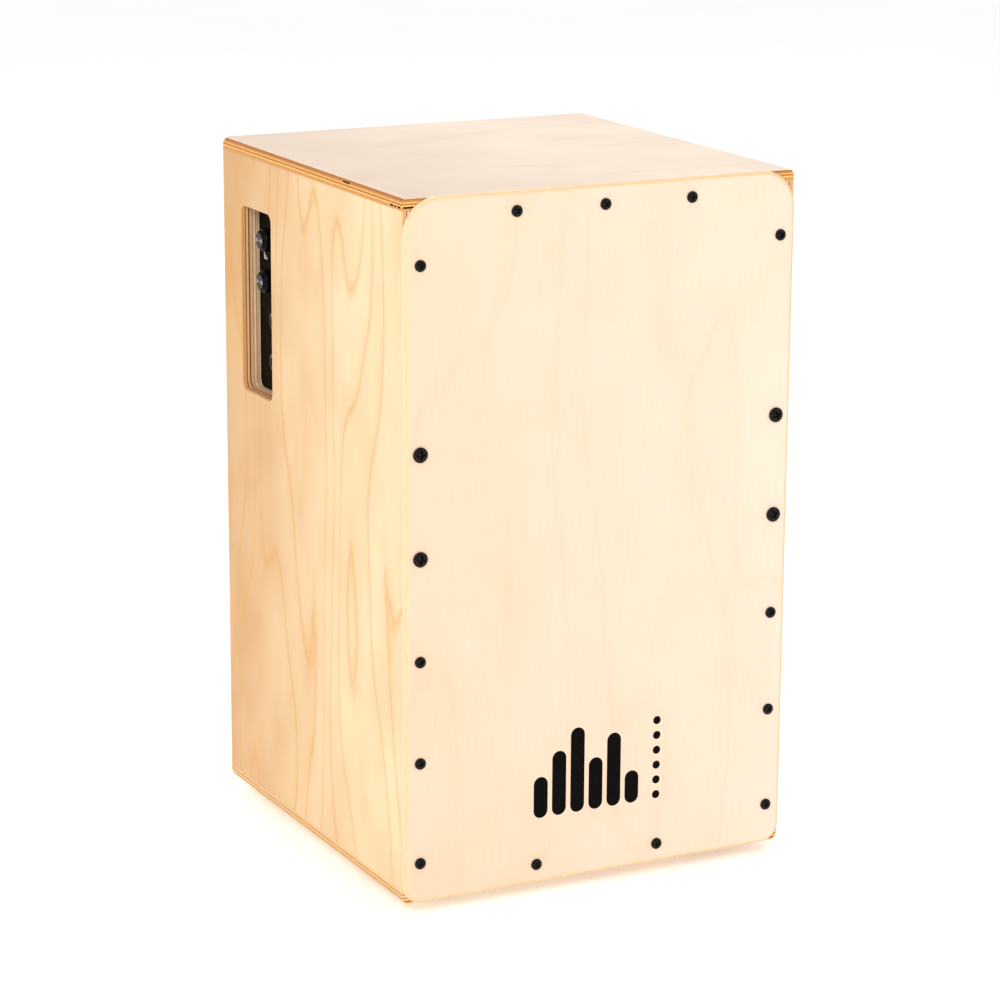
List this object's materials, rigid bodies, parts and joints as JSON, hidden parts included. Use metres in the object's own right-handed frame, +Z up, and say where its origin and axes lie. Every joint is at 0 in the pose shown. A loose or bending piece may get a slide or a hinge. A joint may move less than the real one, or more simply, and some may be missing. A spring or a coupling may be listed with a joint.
{
  "type": "cajon",
  "caption": "Birch plywood box drum that a player sits on and strikes, with a sound hole, snare wires, and a built-in pickup whose knobs and sockets sit in a side recess.",
  "frame": {"origin": "middle of the bounding box's base, on the surface that the feet stand on", "axes": "+Z up; the struck plate faces -Y; the control recess is in the side towards -X"},
  "size_m": [0.3, 0.313, 0.5],
  "materials": {
    "seat_veneer": "satin lacquer",
    "side_veneer": "satin lacquer",
    "plate_veneer": "satin lacquer",
    "solid_wood": "planed",
    "black_steel": "black oxide, satin",
    "zinc_steel": "zinc plated",
    "snare_steel": "drawn wire",
    "foot_rubber": "matte",
    "panel_sheet": "black, satin",
    "black_plastic": "moulded",
    "spun_aluminium": "spun",
    "nickel": "nickel plated",
    "board_laminate": "solder mask",
    "battery_sleeve": "printed sleeve without text",
    "pickup_brass": "rolled",
    "lead_sheath": "soft sheath"
  },
  "bodies": {
    "box": {"top_panel": "seat_veneer", "bottom_panel": "side_veneer", "left_side_panel": "side_veneer", "right_side_panel": "side_veneer", "rear_panel": "side_veneer", "front_plate": "plate_veneer", "top_batten": "solid_wood", "bottom_batten": "solid_wood", "snare_rail": "solid_wood", "plate_screw_left_1": "black_steel", "plate_screw_left_2": "black_steel", "plate_screw_left_3": "black_steel", "plate_screw_left_4": "black_steel", "plate_screw_left_5": "black_steel", "plate_screw_left_6": "black_steel", "plate_screw_right_1": "black_steel", "plate_screw_right_2": "black_steel", "plate_screw_right_3": "black_steel", "plate_screw_right_4": "black_steel", "plate_screw_right_5": "black_steel", "plate_screw_right_6": "black_steel", "plate_screw_top_1": "black_steel", "plate_screw_top_2": "black_steel", "plate_screw_top_3": "black_steel", "plate_screw_bottom_1": "black_steel", "plate_screw_bottom_2": "black_steel", "foot_front_left": "foot_rubber", "foot_screw_front_left": "zinc_steel", "foot_front_right": "foot_rubber", "foot_screw_front_right": "zinc_steel", "foot_rear_left": "foot_rubber", "foot_screw_rear_left": "zinc_steel", "foot_rear_right": "foot_rubber", "foot_screw_rear_right": "zinc_steel", "snare_wires_left": "snare_steel", "snare_screw_left": "zinc_steel", "snare_wires_right": "snare_steel", "snare_screw_right": "zinc_steel", "control_panel": "panel_sheet", "panel_screw_upper_front": "zinc_steel", "panel_screw_upper_rear": "zinc_steel", "panel_screw_lower_front": "zinc_steel", "panel_screw_lower_rear": "zinc_steel", "volume_pot": "zinc_steel", "tone_pot": "zinc_steel", "upper_jack": "black_plastic", "upper_jack_nut": "nickel", "lower_jack": "black_plastic", "lower_jack_nut": "nickel", "circuit_board": "board_laminate", "battery": "battery_sleeve", "preamp_housing": "black_plastic", "pickup_disc": "pickup_brass", "pickup_cable": "lead_sheath"},
    "volume_control": {"volume_shaft": "nickel", "volume_knob": "black_plastic", "volume_knob_cap": "spun_aluminium"},
    "tone_control": {"tone_shaft": "nickel", "tone_knob": "black_plastic", "tone_knob_cap": "spun_aluminium"}
  },
  "joints": [
    {"name": "volume_turn", "type": "hinge", "parent": "box", "child": "volume_control", "pos_m": [-0.1347, 0.09335, 0.4326], "axis": [-1, 0, 0], "range_deg": [-150, 150]},
    {"name": "tone_turn", "type": "hinge", "parent": "box", "child": "tone_control", "pos_m": [-0.1347, 0.09335, 0.40243], "axis": [-1, 0, 0], "range_deg": [-150, 150]}
  ]
}
